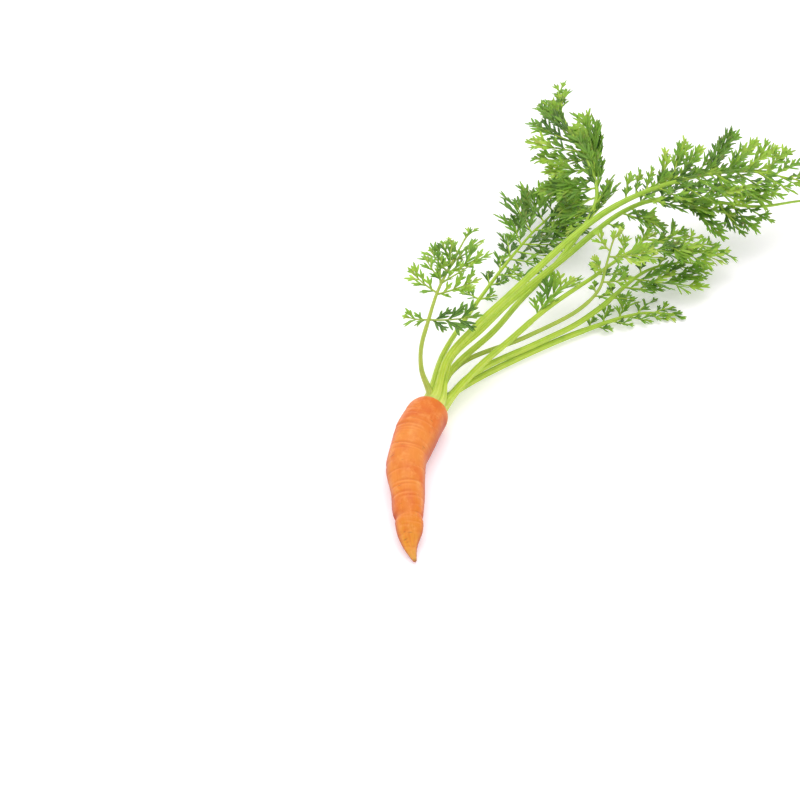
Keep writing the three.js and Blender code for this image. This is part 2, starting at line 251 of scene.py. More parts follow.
def root_surface():
    """Rows of the root's skin from the middle of the crown's dip to the tip, with what marks each point:
    how deep it lies in a crease, which gets painted shade, on a ledge below one, which gets a painted
    highlight, in a scar, how near the crown's dip it is, and how far down the flank, where painted shade
    makes the skin darker and redder."""
    rng = np.random.default_rng(7)
    dip = [(r, DIP_DEPTH) for r in np.linspace(0.3 * MM, DIP_RADIUS, 16)]
    rim = [(RIM_RADIUS - inside, deep) for inside, deep in RIM_STEP]
    shoulder = []
    for s in SHOULDER * np.linspace(0.03, 0.97, 32) ** 1.6:
        bulge = math.sqrt(1 - (1 - s / SHOULDER) ** 2)
        shoulder.append((RIM_RADIUS + (through(ROOT_RADII, s) - RIM_RADIUS) * bulge, s))
    body = [(through(ROOT_RADII, s), s)
            for s in np.arange(SHOULDER, ROOT_LENGTH - TIP_CUT, SKIN_ROWS_APART)]
    profile = np.array(dip + rim + shoulder + body)
    angles = np.arange(SKIN_SIDES) * 360 / SKIN_SIDES
    radius, distance = (np.repeat(column[:, None], SKIN_SIDES, axis=1) for column in profile.T)
    angle = np.repeat(angles[None, :], len(profile), axis=0)
    radians = np.radians(angle)

    mm_down = distance / MM + sum(
        rng.uniform(0.08, 0.26) * np.sin(m * radians + rng.uniform(0, 6.3)) for m in (1, 2, 3, 5))
    creases = crease_depth(mm_down, angle, MAIN_CREASES)
    ledge_highlights = crease_depth(mm_down - CREASE_TO_LEDGE, angle, MAIN_CREASES)
    for _ in range(FINE_CREASES):
        crease = [(rng.uniform(9, 96), rng.uniform(*FINE_DEPTH), rng.uniform(*FINE_HALF_WIDTH),
                   rng.uniform(0, 360), rng.uniform(30, 120))]
        sway = rng.uniform(*FINE_SWAY)
        swayed = mm_down + sway * np.sin(rng.integers(1, 4) * radians + rng.uniform(0, 6.3))
        creases = creases + crease_depth(swayed, angle, crease)
        ledge_highlights = ledge_highlights + crease_depth(swayed - FINE_TO_LEDGE, angle, crease)

    scars = np.zeros_like(distance)
    lips = np.zeros_like(distance)
    for k in range(SCARS):
        down = rng.uniform(6, 95)
        facing = 45 + 90 * (k % 4) + rng.normal(0, 24)
        wide = rng.uniform(*SCAR_WIDTH)
        tall = rng.uniform(*SCAR_HEIGHT)
        around = np.radians(angle_off(angle, facing)) * radius / MM / wide
        up = (distance / MM - down) / tall
        scars += rng.uniform(0.35, 1.0) * np.exp(-around ** 2 - up ** 2)
        lips += np.exp(-(around / 1.3) ** 2 - ((up - 1.9) / 1.4) ** 2)

    lumps = np.zeros_like(distance)
    for _ in range(LUMPS):
        turns, pitch, phase = rng.integers(1, 6), rng.uniform(*LUMP_PITCH), rng.uniform(0, 6.3)
        waves = np.sin(turns * radians + distance / MM * 6.3 / pitch + phase)
        lumps += rng.uniform(*LUMP_HEIGHT) * waves

    on_body = blend_in(0.2 * SHOULDER, 1.1 * SHOULDER, distance)
    thin_end = np.clip(radius / THIN_END_RADIUS, 0.1, 1)
    sunk = creases - SCAR_LIP * lips + SCAR_DEPTH * scars - lumps
    radius = radius - MM * sunk * on_body * thin_end
    place, _, right = root_axis(distance)
    skin = place - right * (radius * np.cos(radians))[..., None] + UP * (radius * np.sin(radians))[..., None]
    skin[..., 2] = np.maximum(skin[..., 2], 0)
    unrolled = np.stack([
        UNROLLED_RADIUS * np.cos(radians), distance, UNROLLED_RADIUS * np.sin(radians)], axis=-1)
    ring = radius / RIM_RADIUS
    # The crease and flank marks carry painted shade, the ledge mark a painted highlight.
    marks = {
        "along": distance / ROOT_LENGTH,
        "crease": np.clip(creases / FULL_COLOUR_DEPTH, 0, 1) * on_body,
        "ledge_highlight": np.clip(ledge_highlights / FULL_COLOUR_DEPTH, 0, 1) * on_body,
        "scar": np.clip(scars, 0, 1) * on_body,
        "crown": (1 - blend_in(0.8, 1.12, ring)) * (distance < SHOULDER),
        "flank_shade": np.clip((0.62 - np.sin(radians)) / 0.55, 0, 1) * on_body,
    }
    return skin, unrolled, marks


def lathe_faces(rows, sides):
    """Quads between rows of a ring-shaped grid, and a fan at each end round one more point."""
    faces = []
    for i in range(rows - 1):
        for j in range(sides):
            k = (j + 1) % sides
            faces.append((i * sides + j, (i + 1) * sides + j, (i + 1) * sides + k, i * sides + k))
    first, last = rows * sides, rows * sides + 1
    for j in range(sides):
        k = (j + 1) % sides
        faces.append((first, j, k))
        faces.append((last, (rows - 1) * sides + k, (rows - 1) * sides + j))
    return faces


def store(mesh, name, kind, values):
    """Keeps one value for each corner point of the mesh under a name that its material reads."""
    layer = mesh.attributes.new(name, kind, "POINT")
    field = "vector" if kind == "FLOAT_VECTOR" else "value"
    layer.data.foreach_set(field, np.ravel(values).astype(np.float32))


def smooth_shaded(mesh):
    mesh.polygons.foreach_set("use_smooth", np.ones(len(mesh.polygons), bool))


def root_mesh():
    skin, unrolled, marks = root_surface()
    rows, sides, _ = skin.shape
    middle = skin[0].mean(axis=0)
    tip_place, tip_along, _ = root_axis(np.array(ROOT_LENGTH))
    tip = tip_place + tip_along * 0.2 * MM
    mesh = bpy.data.meshes.new("taproot_skin")
    mesh.from_pydata(np.vstack([skin.reshape(-1, 3), middle, tip]).tolist(), [], lathe_faces(rows, sides))
    ends = np.vstack([[0, DIP_DEPTH, 0], [0, ROOT_LENGTH, 0]])
    store(mesh, "unrolled", "FLOAT_VECTOR", np.vstack([unrolled.reshape(-1, 3), ends]))
    for name, values in marks.items():
        at_ends = (values[0, 0], values[-1, 0])
        store(mesh, name, "FLOAT", np.concatenate([values.ravel(), at_ends]))
    smooth_shaded(mesh)
    return mesh


def linear(red, green, blue):
    """A colour given in the 0 to 255 steps of a screen, as the light that it reflects."""
    steps = np.array([red, green, blue]) / 255
    light = np.where(steps <= 0.04045, steps / 12.92, ((steps + 0.055) / 1.055) ** 2.4)
    return (*light.tolist(), 1.0)


def feed(tree, sockets, values):
    """Gives each socket its wire or its plain value."""
    for socket, value in zip(sockets, values):
        if isinstance(value, bpy.types.NodeSocket):
            tree.links.new(value, socket)
        else:
            socket.default_value = value


def feed_named(tree, node, inputs):
    feed(tree, [node.inputs[name] for name in inputs], inputs.values())


def add_node(tree, kind, settings=None, inputs=None):
    """A node in a tree, with its settings and the plain values or wires of its named inputs."""
    node = tree.nodes.new(kind)
    for name, value in (settings or {}).items():
        setattr(node, name, value)
    feed_named(tree, node, inputs or {})
    return node


def mark(tree, name):
    return add_node(tree, "ShaderNodeAttribute", {"attribute_name": name})


def ramp(tree, factor, stops):
    """A colour ramp with the given (place, colour) stops."""
    node = add_node(tree, "ShaderNodeValToRGB", None, {"Fac": factor})
    elements = node.color_ramp.elements
    elements[0].position, elements[0].color = stops[0]
    elements[1].position, elements[1].color = stops[-1]
    for place, colour in stops[1:-1]:
        elements.new(place).color = colour
    return node.outputs["Color"]


def mixed(tree, factor, first, second):
    """A mix of two colours: the first where the factor is 0, the second where it is 1."""
    node = tree.nodes.new("ShaderNodeMix")
    node.data_type = "RGBA"
    sockets = {s.identifier: s for s in [*node.inputs, *node.outputs]}
    given = [sockets[name] for name in ("Factor_Float", "A_Color", "B_Color")]
    feed(tree, given, (factor, first, second))
    return sockets["Result_Color"]


def number(tree, how, first, second=0.0, third=0.0):
    """The result of one sum on plain values or wires."""
    node = add_node(tree, "ShaderNodeMath", {"operation": how})
    feed(tree, node.inputs, (first, second, third))
    return node.outputs["Value"]


def spread(tree, value, low, high, most=1.0):
    """A value's range from low to high, stretched to run from 0 to most."""
    node = add_node(tree, "ShaderNodeMapRange", {"clamp": True}, {
        "Value": value, "From Min": low, "From Max": high, "To Min": 0.0, "To Max": most})
    return node.outputs["Result"]


def noise(tree, vector, scale, detail, roughness=0.5):
    node = add_node(tree, "ShaderNodeTexNoise", None, {
        "Vector": vector, "Scale": scale, "Detail": detail, "Roughness": roughness})
    return node.outputs["Fac"]


def shader_group(name, inputs, outputs):
    """An empty shader node group with named sockets. Gives the tree, and its inputs and its outputs."""
    tree = bpy.data.node_groups.new(name, "ShaderNodeTree")
    for title, kind, value in inputs:
        socket = tree.interface.new_socket(title, in_out="INPUT", socket_type=kind)
        if value is not None:
            socket.default_value = value
    for title, kind in outputs:
        tree.interface.new_socket(title, in_out="OUTPUT", socket_type=kind)
    return tree, tree.nodes.new("NodeGroupInput").outputs, tree.nodes.new("NodeGroupOutput").inputs


def grown_skin_group():
    """The uneven tone and fine grain of any grown skin: soft patches of tone, streaks that run the way
    that it grew, and fine pits. Lengthwise is the Y axis of the vector that it is given."""
    tree, given, result = shader_group(
        "grown_skin",
        [("Vector", "NodeSocketVector", None), ("Patch Scale", "NodeSocketFloat", 120.0),
         ("Streak Scale", "NodeSocketFloat", 900.0), ("Pit Scale", "NodeSocketFloat", 2600.0)],
        [("Patches", "NodeSocketFloat"), ("Streaks", "NodeSocketFloat"), ("Pits", "NodeSocketFloat")],
    )
    patches = noise(tree, given["Vector"], given["Patch Scale"], 3.0, 0.55)
    long_way = add_node(tree, "ShaderNodeMapping", None, {
        "Vector": given["Vector"], "Scale": (1.0, 0.09, 1.0)})
    streaks = noise(tree, long_way.outputs["Vector"], given["Streak Scale"], 2.0)
    pits = noise(tree, given["Vector"], given["Pit Scale"], 2.0, 0.6)
    tree.links.new(patches, result["Patches"])
    tree.links.new(streaks, result["Streaks"])
    tree.links.new(pits, result["Pits"])
    return tree


grown_skin = grown_skin_group()


def new_material(name):
    material = bpy.data.materials.new(name)
    material.use_nodes = True
    return material, material.node_tree, material.node_tree.nodes["Principled BSDF"]


def root_skin_material():
    """Moist orange skin, brown in the scars and yellow-green at the crown, with fine wrinkles across it.
    Painted shade makes it darker and redder in its creases and down its lower flanks, and a painted
    highlight makes it pale on the ledges below the creases."""
    material, tree, shader = new_material("root_skin")
    unrolled = mark(tree, "unrolled").outputs["Vector"]
    grown_tone = add_node(tree, "ShaderNodeGroup", {"node_tree": grown_skin}, {
        "Vector": unrolled, "Patch Scale": 95.0, "Streak Scale": 1100.0, "Pit Scale": 2400.0})
    along = mark(tree, "along").outputs["Fac"]
    crease = mark(tree, "crease").outputs["Fac"]
    ledge_highlight = mark(tree, "ledge_highlight").outputs["Fac"]
    scar = mark(tree, "scar").outputs["Fac"]
    crown = mark(tree, "crown").outputs["Fac"]
    flank_shade = mark(tree, "flank_shade").outputs["Fac"]

    flesh = ramp(tree, along, [
        (0.0, linear(222, 112, 22)), (0.14, linear(226, 122, 28)), (0.3, linear(231, 138, 48)),
        (0.6, linear(229, 134, 40)), (0.78, linear(225, 124, 20)), (0.93, linear(228, 152, 38)),
        (0.985, linear(214, 160, 66)), (1.0, linear(120, 108, 50)),
    ])
    patches = spread(tree, grown_tone.outputs["Patches"], 0.48, 0.7, 0.7)
    reddened = mixed(tree, patches, flesh, linear(216, 94, 22))
    blotches = spread(tree, noise(tree, unrolled, 260.0, 3.0, 0.6), 0.5, 0.7, 0.5)
    blotched = mixed(tree, blotches, reddened, linear(242, 166, 84))
    streaks = spread(tree, grown_tone.outputs["Streaks"], 0.5, 0.75, 0.1)
    streaky = mixed(tree, streaks, blotched, linear(255, 180, 100))
    # Painted highlight: the ledge below each crease is painted paler.
    lit = mixed(tree, number(tree, "MULTIPLY", ledge_highlight, 0.4), streaky, linear(250, 172, 96))
    # Painted shade: the creases are painted darker and redder.
    shaded_creases = mixed(tree, number(tree, "MULTIPLY", crease, 0.5), lit, linear(206, 92, 18))
    # Painted shade: the lower flanks, turned away from the light above, are painted darker and redder.
    shaded_flanks = mixed(tree, number(tree, "MULTIPLY", flank_shade, 0.8), shaded_creases, linear(172, 56, 12))
    scarred = mixed(tree, number(tree, "MULTIPLY", scar, 0.75), shaded_flanks, linear(150, 84, 30))
    crowned = mixed(tree, crown, scarred, linear(206, 205, 92))

    rough = number(tree, "MULTIPLY_ADD", grown_tone.outputs["Pits"], 0.16, 0.36)
    rougher = number(tree, "ADD", rough, number(tree, "MULTIPLY", crease, 0.12))

    crosswise = add_node(tree, "ShaderNodeMapping", None, {"Vector": unrolled, "Scale": (0.16, 1.0, 0.16)})
    wrinkles = noise(tree, crosswise.outputs["Vector"], 1500.0, 3.0, 0.6)
    height = number(tree, "MULTIPLY_ADD", grown_tone.outputs["Pits"], 0.35, wrinkles)
    bump = add_node(tree, "ShaderNodeBump", None, {"Strength": 0.5, "Distance": 0.1 * MM, "Height": height})
    feed_named(tree, shader, {
        "Base Color": crowned, "Roughness": rougher, "Normal": bump.outputs["Normal"],
        "Subsurface Weight": 0.3, "Subsurface Radius": (1.0, 0.4, 0.12), "Subsurface Scale": 1.2 * MM,
        "Specular IOR Level": 0.4})
    return material


taproot_skin = root_mesh()
taproot_skin.materials.append(root_skin_material())
taproot = plain_object("taproot_skin", taproot_skin)
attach(taproot, "root")
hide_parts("taproot")

# --- The leaf stalks -----------------------------------------------------------------------------------
# Nine bare leaf stalks, juicy and ribbed lengthwise, with a shallow channel along the upper side. They
# stand in the dip of the crown, pale and swollen at the foot, and turn greener towards the fronds.

GAP = 0.3 * MM
FOOT_RING = 4.4 * MM
FOOT_STRAIGHT = 5 * MM
FOOT_SUNK = 0.9 * MM
SECTIONS_APART = 1.4 * MM
STALK_RIDGES = 9
STALK_SIDES = 36
RIDGE_DEPTH = 0.05
CHANNEL_DEPTH = 0.3
FOOT_SWELL = 0.8
FOOT_SWELL_LENGTH = 10 * MM
STALK_PAST_END = 0.1 * MM

# The leaves, from the left of the fan to the right. foot is the angle of the stalk's foot round the crown
# (none for the middle one), radius the stalk's at its foot and at the frond, bare its length, path the line
# from the foot to the leaf's tip and roll the turn of the frond about its rib. lean is how far the leaflets
# of the left and right side blades stand off their rib, full how long they are beside those of the other
# leaves, and shade how light the frond is painted, dark at 0 and pale at 1, which holds its own tone and
# painted shade where it lies in shadow. left and right list the side blades: where each leaves the rib, its
# length, the angle that it opens from the rib and the angle that it rises, or hangs if below zero. tip is the
# length of the last blade. Millimetres and degrees.
LEAVES = [
    {"foot": 131, "radius": (1.4, 1.1), "bare": 43, "lean": (33, 33), "full": 1.0, "shade": 0.45,
     "roll": -12, "tip": 11,
     "path": [(6.6, 41, 24), (6.4, 48, 34), (10, 58, 43), (15, 72, 51), (22, 88, 55), (31, 112, 55)],
     "left": [(46, 15, 100, -8), (61, 21, 72, 8), (68, 17, 62, 20), (75, 20, 60, 8), (83, 15, 52, 16),
              (90, 14, 48, 8), (66, 15, 30, 50), (79, 14, 28, 45)],
     "right": [(46, 24, 82, -8), (60, 21, 66, 0), (67, 18, 58, 20), (72, 16, 26, 50), (74, 23, 52, 0),
               (82, 17, 46, 14), (89, 16, 42, 0)]},
    {"foot": 170, "radius": (1.7, 1.2), "bare": 84, "lean": (33, 42), "full": 1.3, "shade": 0.1, "roll": 0,
     "tip": 13,
     "path": [(18, 67, 10), (34, 101, 11), (54, 135, 15), (70, 160, 17), (82, 177, 17), (95, 213, 13)],
     "left": [(87, 10, 90, 8), (99, 9, 44, 8), (111, 11, 34, 8), (123, 17, 44, 8), (135, 23, 50, 8),
              (147, 29, 60, 8), (159, 27, 58, 8), (171, 22, 52, 8), (184, 15, 44, 8)],
     "right": [(87, 8, 50, 0), (99, 9.5, 48, 0), (108, 12.5, 59, -8), (116, 18, 96, -18),
               (122, 15.5, 69, -6), (129, 18, 72, -4), (136, 22, 63, 0), (143, 25.5, 57, -4),
               (150, 26.5, 54, 0), (158, 28.5, 43, -4), (166, 25.5, 45, 0), (174, 23.5, 41, -4),
               (184, 14.5, 42, 0)]},
    {"foot": None, "radius": (1.8, 1.4), "bare": 148, "lean": (22, 24), "full": 1.0, "shade": 0.3,
     "roll": -14, "tip": 16,
     "path": [(22.4, 51.8, 14), (45.6, 78.6, 17.5), (60.3, 99.1, 20.5), (83, 125, 28), (105, 163, 40),
              (100.5, 187, 49), (91.5, 208, 55), (88.5, 223, 56), (88, 239, 56.5)],
     "left": [(152, 14, 118, -24), (156, 23, 101, -22), (161, 28, 93, -20), (165, 18, 120, -24),
              (170, 26, 96, -20), (176, 33, 84, -8), (182, 30, 88, -12), (189, 26, 76, -10),
              (195, 29, 72, -2), (201, 31, 59, 0), (207, 30, 41, 0), (214, 29, 22, 2), (222, 24, 17, 0),
              (230, 18, 16, 0), (238, 12, 14, 0)],
     "right": [(151, 22, 21, 34), (157, 24, 23, 20), (163, 22, 17, 26), (165, 12, 50, 10), (173, 36, 6, 24),
               (181, 43, 14, 22), (190, 24, 10, 16), (200, 18, 11, 8), (236, 15, 21, 6), (239, 16, 26, 8)]},
    {"foot": 89, "radius": (1.9, 1.7), "bare": 166, "lean": (18, 26), "full": 0.92, "shade": 0.35,
     "roll": 6, "tip": 16,
     "path": [(19.4, 45.6, 27), (32.6, 60, 34.5), (49.4, 78.1, 39), (109, 143, 47), (151, 167, 49),
              (189, 179, 46), (222, 183, 37)],
     "left": [(172, 16, 58, 30), (179, 14, 60, 30), (186, 13.5, 58, 30), (193, 11, 56, 28),
              (199, 20.5, 77, 26), (203, 27.5, 60, 26), (207, 26.5, 46, 26), (216, 19, 38, 24),
              (226, 32, 55, 24), (238, 29.5, 49, 22), (249, 28.5, 48, 20), (261, 26, 58, 16),
              (267, 22, 47, 12), (276, 13.5, 36, 8), (186, 20, 16, 50), (199, 24, 14, 46),
              (213, 24, 12, 42), (228, 24, 12, 38), (243, 22, 10, 34)],
     "right": [(182, 12.5, 62, -8), (193, 18, 56, -10), (205, 24.5, 58, -12), (217, 31.5, 55, -12),
               (229, 33.5, 49, -12), (242, 28, 44, -12), (256, 23.5, 33, -10), (270, 14.5, 23, -6)]},
    {"foot": 41, "radius": (1.8, 1.6), "bare": 150, "lean": (26, 26), "full": 1.0, "shade": 0.15, "roll": 0,
     "tip": 14,
     "path": [(21.2, 50.9, 22), (38.1, 70.1, 26), (54.6, 89.5, 29), (82.7, 117.5, 33), (117, 152.5, 37),
              (137, 164, 37.5), (164, 168, 34.5), (196, 169, 29), (223, 178, 26), (262, 192, 19)],
     "left": [(183, 24, 33, -4), (196, 30.5, 40, -4), (210, 34, 44, -4), (224, 32.5, 43, -4),
              (238, 26.5, 44, -4), (292, 20, 50, 0), (303, 14, 44, 0)],
     "right": [(158, 8.5, 63, -20), (170, 21.5, 53, -20), (177, 22, 71, -25), (192, 32, 32, -14),
               (203, 35.5, 24, -14), (213, 27, 56, -34), (230, 21.5, 55, -30), (238, 20, 48, -30),
               (246, 16.5, 34, -24), (292, 22, 50, 0), (303, 15, 44, 0)]},
    {"foot": -9, "radius": (1.9, 1.6), "bare": 78, "lean": (30, 32), "full": 1.05, "shade": 0.35, "roll": 0,
     "tip": 16,
     "path": [(34.7, 50.8, 15), (53.2, 70.8, 17.5), (72.7, 91.6, 20), (97, 112, 23), (131, 140, 25),
              (151, 143, 24), (172, 145, 18)],
     "left": [(82, 37, 22, -6), (127, 8, 60, 8), (150, 13, 56, 8), (162, 17, 50, 8), (174, 18, 45, 8),
              (186, 15, 40, 8), (197, 12, 36, 4), (156, 19, 16, 46), (170, 19, 14, 42)],
     "right": [(128, 14, 44, -4), (150, 20, 50, -4), (162, 26, 46, -6), (174, 28, 42, -6),
               (186, 24, 36, -6), (197, 16, 32, -6)]},
    {"foot": -147, "radius": (1.4, 1.1), "bare": 118, "lean": (32, 32), "full": 1.0, "shade": 0.5,
     "roll": 0, "tip": 8,
     "path": [(27, 59, 11.2), (62, 78, 13), (92, 96, 17), (103, 106, 23), (106, 113, 31), (109, 121, 39),
              (111, 126, 43)],
     "left": [(124, 6, 60, 0), (136, 9, 60, 0), (148, 12, 60, 0)],
     "right": [(122, 7, 60, 0), (131, 14, 76, 0), (145, 22, 80, 0)]},
    {"foot": -52, "radius": (1.8, 1.5), "bare": 130, "lean": (30, 32), "full": 1.0, "shade": 0.3, "roll": 0,
     "tip": 12,
     "path": [(31.9, 53.1, 8.4), (70, 78.9, 8.6), (89.6, 91.9, 9), (104.1, 104.5, 10), (132, 133, 12),
              (150, 140, 12), (163, 143, 9)],
     "left": [(134, 8, 60, 4), (146, 14, 56, 4), (158, 18, 52, 4), (170, 18, 46, 4), (181, 13, 40, 4)],
     "right": [(132, 10, 56, 0), (143, 20, 60, 0), (152, 38, 60, 0), (165, 28, 48, 0), (178, 20, 40, 0)]},
    {"foot": -110, "radius": (1.9, 1.6), "bare": 108, "lean": (30, 30), "full": 1.0, "shade": 0.4,
     "roll": 0, "tip": 8,
     "path": [(28.6, 50, 3.8), (48.2, 64.3, 4.2), (92.7, 91.8, 4), (128, 108, 3), (147, 109, 1.6)],
     "left": [(112, 9, 56, 4), (121, 15, 56, 4), (131, 20, 50, 4), (142, 18, 44, 2), (152, 12, 38, 0)],
     "right": [(116, 7, 50, 0), (126, 10, 46, 0), (136, 12, 42, 0), (146, 11, 38, 0), (154, 8, 34, 0)]},
]
LONGEST_STALK = max(leaf["bare"] for leaf in LEAVES) * MM
OLIVE_LEAVES = (1, 7)


def leaf_line(leaf):
    """A leaf's whole line: its foot in the dip of the crown, a short straight start, then its own path."""
    place, along, right = root_axis(np.array(0.0))
    outwards = -along
    ring = 0.0 if leaf["foot"] is None else FOOT_RING
    turn = math.radians(leaf["foot"] or 0)
    start = place + outwards * (GAP - DIP_DEPTH) + ring * (UP * math.sin(turn) - right * math.cos(turn))
    straight = start + outwards * FOOT_STRAIGHT
    return smooth_line(np.vstack([start, straight, MM * np.array(leaf["path"])]), math.radians(leaf["roll"]))


def geometry_tree(name, inputs):
    """An empty geometry node tree with named inputs after its geometry."""
    tree = bpy.data.node_groups.new(name, "GeometryNodeTree")
    tree.interface.new_socket("Geometry", in_out="INPUT", socket_type="NodeSocketGeometry")
    tree.interface.new_socket("Geometry", in_out="OUTPUT", socket_type="NodeSocketGeometry")
    for title, kind in inputs:
        tree.interface.new_socket(title, in_out="INPUT", socket_type=kind)
    return tree, tree.nodes.new("NodeGroupInput").outputs, tree.nodes.new("NodeGroupOutput").inputs


def grown(name, guide, tree, values):
    """Runs a geometry node tree on a guide mesh and gives the plain mesh that it makes."""
    carrier = plain_object(name, guide)
    modifier = carrier.modifiers.new("grow", "NODES")
    modifier.node_group = tree
    sockets = {s.name: s.identifier for s in tree.interface.items_tree if s.in_out == "INPUT"}
    for title, value in values.items():
        modifier[sockets[title]] = value
    depsgraph = bpy.context.evaluated_depsgraph_get()
    mesh = bpy.data.meshes.new_from_object(carrier.evaluated_get(depsgraph), depsgraph=depsgraph)
    carrier.modifiers.remove(modifier)
    bpy.data.objects.remove(carrier)
    bpy.data.meshes.remove(guide)
    mesh.name = name
    return mesh


def named(tree, name, kind="FLOAT"):
    node = add_node(tree, "GeometryNodeInputNamedAttribute", {"data_type": kind}, {"Name": name})
    return node.outputs["Attribute"]


def ribbed_bar(tree, guide, sides, ridges, ridge_depth, channel_depth):
    """Nodes that turn a guide line with a thick value at each point into a closed ribbed bar, with how
    far round it each point lies kept as around."""
    line = add_node(tree, "GeometryNodeMeshToCurve", None, {"Mesh": guide})
    upright = add_node(tree, "GeometryNodeSetCurveNormal", {"mode": "Z_UP"}, {"Curve": line.outputs["Curve"]})
    round_one = add_node(tree, "GeometryNodeCurvePrimitiveCircle", {"mode": "RADIUS"}, {
        "Resolution": sides, "Radius": 1.0})
    factor = tree.nodes.new("GeometryNodeSplineParameter").outputs["Factor"]
    kept = add_node(tree, "GeometryNodeStoreNamedAttribute", {"data_type": "FLOAT", "domain": "POINT"}, {
        "Geometry": round_one.outputs["Curve"], "Name": "around", "Value": factor})
    turn = number(tree, "MULTIPLY", factor, 2 * math.pi)
    waves = number(tree, "COSINE", number(tree, "MULTIPLY", turn, ridges))
    ridge = number(tree, "MULTIPLY", waves, ridge_depth)
    upper = number(tree, "POWER", number(tree, "MAXIMUM", number(tree, "COSINE", turn), 0.0), 6.0)
    channel = number(tree, "MULTIPLY", upper, channel_depth)
    size = number(tree, "ADD", number(tree, "SUBTRACT", ridge, channel), 1.0)
    place = tree.nodes.new("GeometryNodeInputPosition").outputs["Position"]
    scaled = add_node(tree, "ShaderNodeVectorMath", {"operation": "SCALE"}, {"Vector": place, "Scale": size})
    section = add_node(tree, "GeometryNodeSetPosition", None, {
        "Geometry": kept.outputs["Geometry"], "Position": scaled.outputs["Vector"]})
    bar = add_node(tree, "GeometryNodeCurveToMesh", None, {
        "Curve": upright.outputs["Curve"], "Profile Curve": section.outputs["Geometry"],
        "Scale": named(tree, "thick"), "Fill Caps": True})
    return bar.outputs["Mesh"]


def ribbed_stalk_tree():
    tree, given, result = geometry_tree("ribbed_stalk", [
        ("Sides", "NodeSocketInt"), ("Ridges", "NodeSocketInt"), ("Ridge Depth", "NodeSocketFloat"),
        ("Channel Depth", "NodeSocketFloat"), ("Skin", "NodeSocketMaterial")])
    bar = ribbed_bar(tree, given["Geometry"], given["Sides"], given["Ridges"], given["Ridge Depth"],
                     given["Channel Depth"])
    smooth = add_node(tree, "GeometryNodeSetShadeSmooth", None, {"Geometry": bar})
    real = add_node(tree, "GeometryNodeRealizeInstances", None, {"Geometry": smooth.outputs["Geometry"]})
    skinned = add_node(tree, "GeometryNodeSetMaterial", None, {
        "Geometry": real.outputs["Geometry"], "Material": given["Skin"]})
    tree.links.new(skinned.outputs["Geometry"], result["Geometry"])
    return tree


def mix_colours(first, second, share):
    return tuple(a + (b - a) * share for a, b in zip(first, second))


def stalk_material(name, foot_colour, low_colour, high_colour):
    """Juicy ribbed stem: pale at the foot, greener further up, with a painted highlight along its ridges."""
    material, tree, shader = new_material(name)
    place = add_node(tree, "ShaderNodeTexCoord").outputs["Object"]
    grown_tone = add_node(tree, "ShaderNodeGroup", {"node_tree": grown_skin}, {
        "Vector": place, "Patch Scale": 160.0, "Streak Scale": 700.0, "Pit Scale": 3400.0})
    from_foot = mark(tree, "from_foot").outputs["Fac"]
    body = ramp(tree, from_foot, [
        (0.0, foot_colour), (0.035, mix_colours(foot_colour, low_colour, 0.6)), (0.1, low_colour),
        (0.55, mix_colours(low_colour, high_colour, 0.45)), (1.0, high_colour)])
    around = mark(tree, "around").outputs["Fac"]
    # Painted highlight: the tops of the ridges are painted lighter.
    ribs = number(tree, "COSINE", number(tree, "MULTIPLY", around, 2 * math.pi * STALK_RIDGES))
    ridge_highlighted = mixed(tree, spread(tree, ribs, 0.1, 1.0, 0.22), body, linear(234, 242, 150))
    patches = spread(tree, grown_tone.outputs["Patches"], 0.45, 0.7, 0.35)
    patchy = mixed(tree, patches, ridge_highlighted, mix_colours(high_colour, linear(96, 150, 40), 0.5))
    rough = number(tree, "MULTIPLY_ADD", grown_tone.outputs["Pits"], 0.2, 0.32)
    bump = add_node(tree, "ShaderNodeBump", None, {
        "Strength": 0.35, "Distance": 0.06 * MM, "Height": grown_tone.outputs["Pits"]})
    feed_named(tree, shader, {
        "Base Color": patchy, "Roughness": rough, "Normal": bump.outputs["Normal"],
        "Subsurface Weight": 0.35, "Subsurface Radius": (0.6, 1.0, 0.2), "Subsurface Scale": 0.9 * MM,
        "Specular IOR Level": 0.4})
    return material


fresh_stalk_skin = stalk_material(
    "fresh_stalk", linear(210, 222, 116), linear(186, 210, 56), linear(156, 195, 50))
olive_stalk_skin = stalk_material(
    "olive_stalk", linear(214, 218, 124), linear(172, 188, 70), linear(150, 178, 62))
ribbed_stalk = ribbed_stalk_tree()


def guide_mesh(name, lines):
    """One mesh of loose lines. Each line is a dict of arrays: place and the values kept at each point."""
    places = np.vstack([line["place"] for line in lines])
    edges = []
    start = 0
    for line in lines:
        count = len(line["place"])
        edges += [(start + i, start + i + 1) for i in range(count - 1)]
        start += count
    mesh = bpy.data.meshes.new(name)
    mesh.from_pydata(places.tolist(), edges, [])
    for key in lines[0]:
        if key != "place":
            values = np.concatenate([line[key] for line in lines])
            store(mesh, key, "FLOAT_VECTOR" if values.ndim == 2 else "FLOAT", values)
    return mesh


def stalk_guide(leaf):
    """The line of one bare stalk, thicker at its swollen foot."""
    _, at = leaf_line(leaf)
    bare = leaf["bare"] * MM
    distances = np.linspace(0, bare + STALK_PAST_END, round(bare / SECTIONS_APART))
    place, along, _, _ = at(distances)
    place[0] -= along[0] * FOOT_SUNK
    foot, top = (r * MM for r in leaf["radius"])
    thick = foot + (top - foot) * distances / bare
    swollen = 1 + FOOT_SWELL * np.exp(-(distances / FOOT_SWELL_LENGTH) ** 2)
    return guide_mesh("stalk_guide", [{
        "place": place, "thick": thick * swollen, "from_foot": distances / LONGEST_STALK}])


